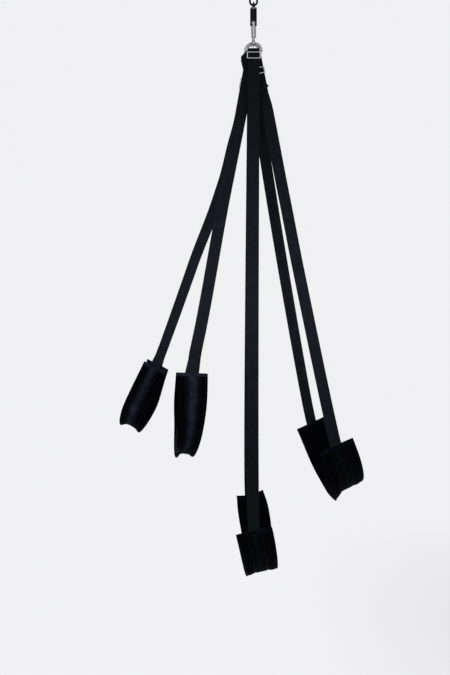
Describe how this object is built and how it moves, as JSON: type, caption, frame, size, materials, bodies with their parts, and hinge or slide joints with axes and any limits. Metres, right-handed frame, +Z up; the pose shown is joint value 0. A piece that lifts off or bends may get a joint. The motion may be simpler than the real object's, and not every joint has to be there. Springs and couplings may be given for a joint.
{
  "type": "suspended sling swing",
  "caption": "Suspended webbing sling swing on a swivel and screw-gate carabiner, with padded seat, back and leg slings on D-rings and sliders.",
  "frame": {"origin": "inside the top of the open end link, at the point where a hook or shackle bears", "axes": "+Z up along the suspension line, +X towards the sitter's back, +Y towards the sitter's right"},
  "size_m": [0.8886, 0.7591, 1.9648],
  "materials": {
    "polished_steel": "polished and plated",
    "grey_cap": "satin",
    "black_coat": "satin black coating",
    "bearing_bronze": "plain bearing bronze",
    "spring_steel": "drawn wire",
    "webbing": "woven, ribbed across",
    "pad_cover": "soft brushed pile"
  },
  "bodies": {
    "chain_end": {"chain_link": "black_coat"},
    "swivel_head": {"swivel_eye": "black_coat", "swivel_nut": "polished_steel"},
    "swivel_barrel": {"swivel_body": "black_coat", "swivel_cap": "grey_cap", "swivel_bearing": "bearing_bronze"},
    "carabiner": {"carabiner_body": "polished_steel", "gate_pin": "polished_steel"},
    "gate": {"gate": "polished_steel", "gate_pushrod": "polished_steel", "gate_spring": "spring_steel"},
    "screw_sleeve": {"screw_sleeve": "polished_steel"},
    "seat_sling": {"left_seat_ring": "polished_steel", "right_seat_ring": "polished_steel", "seat_webbing": "webbing", "seat_pad": "pad_cover"},
    "back_sling": {"left_back_ring": "polished_steel", "right_back_ring": "polished_steel", "back_webbing": "webbing", "back_pad": "pad_cover"},
    "left_leg_sling": {"left_leg_ring": "polished_steel", "left_leg_webbing": "webbing", "left_leg_pad": "pad_cover"},
    "right_leg_sling": {"right_leg_ring": "polished_steel", "right_leg_webbing": "webbing", "right_leg_pad": "pad_cover"},
    "left_seat_slider": {"left_seat_slider": "polished_steel"},
    "right_seat_slider": {"right_seat_slider": "polished_steel"},
    "left_back_slider": {"left_back_slider": "polished_steel"},
    "right_back_slider": {"right_back_slider": "polished_steel"},
    "left_leg_slider": {"left_leg_slider": "polished_steel"},
    "right_leg_slider": {"right_leg_slider": "polished_steel"}
  },
  "joints": [
    {"name": "link_swing", "type": "hinge", "parent": "chain_end", "child": "swivel_head", "pos_m": [0, 0, -0.04325], "axis": [1, 0, 0], "range_deg": [-35, 35]},
    {"name": "swivel_spin", "type": "hinge", "parent": "swivel_head", "child": "swivel_barrel", "pos_m": [0, 0, -0.07], "axis": [0, 0, 1], "continuous": true},
    {"name": "carabiner_swing", "type": "hinge", "parent": "swivel_barrel", "child": "carabiner", "pos_m": [0, 0, -0.10375], "axis": [1, 0, 0], "range_deg": [-30, 30]},
    {"name": "gate_open", "type": "hinge", "parent": "carabiner", "child": "gate", "pos_m": [0, -0.01107, -0.10988], "axis": [1, 0, 0], "range_deg": [0, 22], "stiffness_Nm_per_rad": 0.06, "springref_deg": -28.65, "deforming": ["gate_spring"]},
    {"name": "sleeve_screw", "type": "slide", "parent": "gate", "child": "screw_sleeve", "axis": [0, 0.2179, 0.976], "range_m": [-0.007, 0]},
    {"name": "seat_swing", "type": "hinge", "parent": "carabiner", "child": "seat_sling", "pos_m": [0, 0, -0.1722], "axis": [0, 1, 0], "range_deg": [-6, 4]},
    {"name": "back_swing", "type": "hinge", "parent": "carabiner", "child": "back_sling", "pos_m": [0, 0, -0.1722], "axis": [0, 1, 0], "range_deg": [-28, 5]},
    {"name": "left_leg_swing", "type": "hinge", "parent": "carabiner", "child": "left_leg_sling", "pos_m": [0, 0, -0.1722], "axis": [0, 1, 0], "range_deg": [-4, 26]},
    {"name": "right_leg_swing", "type": "hinge", "parent": "carabiner", "child": "right_leg_sling", "pos_m": [0, 0, -0.1722], "axis": [0, 1, 0], "range_deg": [-6, 26]},
    {"name": "left_seat_adjust", "type": "slide", "parent": "seat_sling", "child": "left_seat_slider", "axis": [0, -0.0983, -0.9952], "range_m": [0, 0.05]},
    {"name": "right_seat_adjust", "type": "slide", "parent": "seat_sling", "child": "right_seat_slider", "axis": [0, 0.0983, -0.9952], "range_m": [0, 0.05]},
    {"name": "left_back_adjust", "type": "slide", "parent": "back_sling", "child": "left_back_slider", "axis": [0.1893, -0.1258, -0.9738], "range_m": [-0.035, 0.03]},
    {"name": "right_back_adjust", "type": "slide", "parent": "back_sling", "child": "right_back_slider", "axis": [0.1037, 0.1267, -0.9865], "range_m": [-0.035, 0.025]},
    {"name": "left_leg_adjust", "type": "slide", "parent": "left_leg_sling", "child": "left_leg_slider", "axis": [-0.1779, -0.1011, -0.9788], "range_m": [-0.02, 0.06]},
    {"name": "right_leg_adjust", "type": "slide", "parent": "right_leg_sling", "child": "right_leg_slider", "axis": [-0.1864, 0.1011, -0.9773], "range_m": [-0.02, 0.06]}
  ]
}
